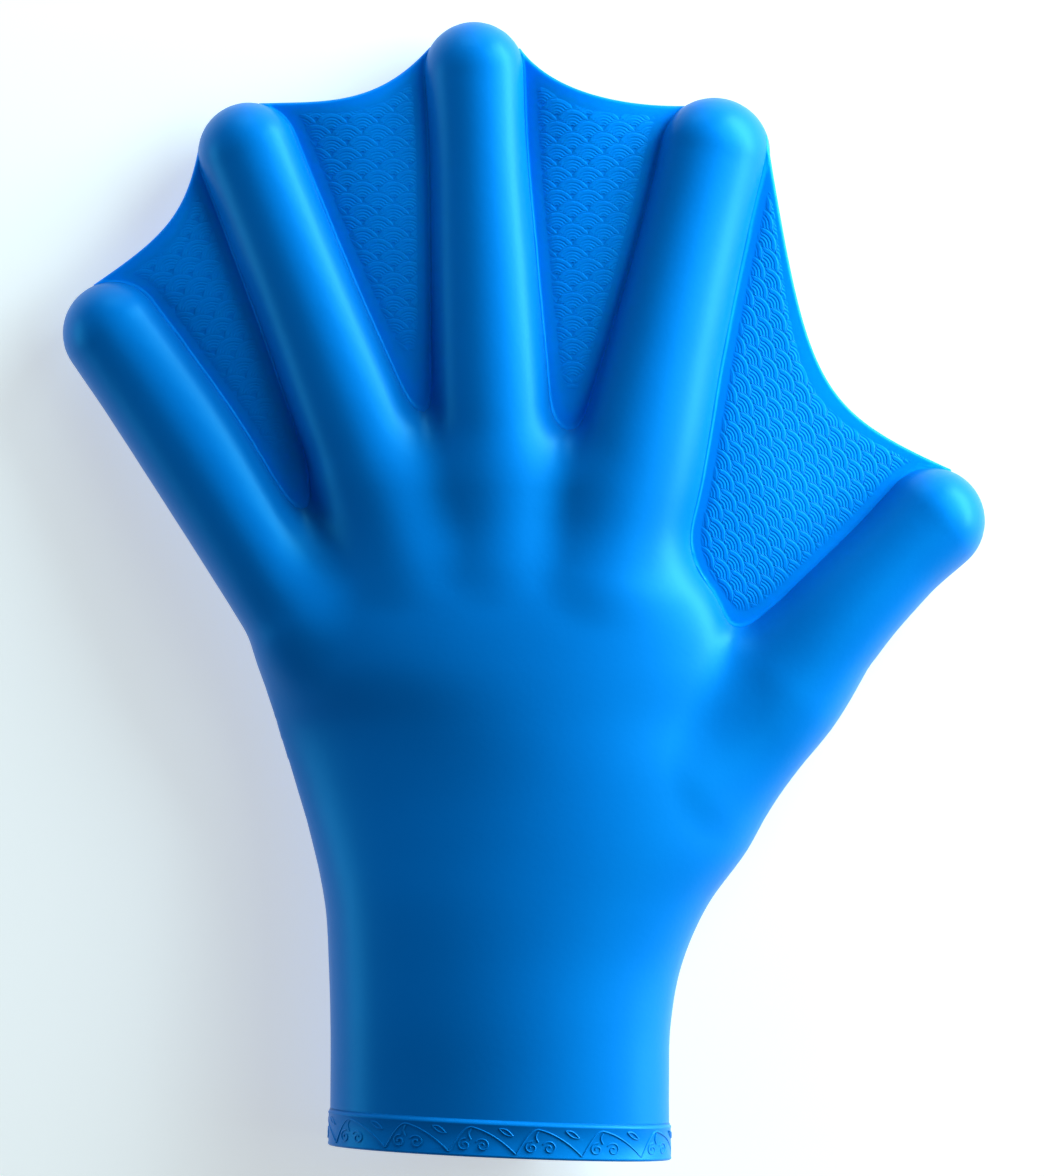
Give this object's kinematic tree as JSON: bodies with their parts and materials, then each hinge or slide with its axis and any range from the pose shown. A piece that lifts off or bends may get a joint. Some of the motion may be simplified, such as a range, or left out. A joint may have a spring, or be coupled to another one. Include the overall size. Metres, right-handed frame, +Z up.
{
  "type": "webbed swim glove",
  "caption": "Hollow moulded silicone swim glove with finger stalls, webs between them, wave-scale relief and a scroll border at the cuff, lying palm down.",
  "frame": {"origin": "middle of the glove's outline, on the surface that it lies on", "axes": "+Y towards the fingertips, +X towards the thumb, +Z up from the palm to the back of the hand"},
  "size_m": [0.2018, 0.248, 0.0443],
  "materials": {
    "silicone": "satin moulded silicone",
    "web_silicone": "satin moulded silicone, thin"
  },
  "bodies": {
    "root": {"glove_shell": "silicone", "web_thumb_index": "web_silicone", "web_index_middle": "web_silicone", "web_middle_ring": "web_silicone", "web_ring_little": "web_silicone", "cuff_band": "silicone"}
  },
  "joints": []
}
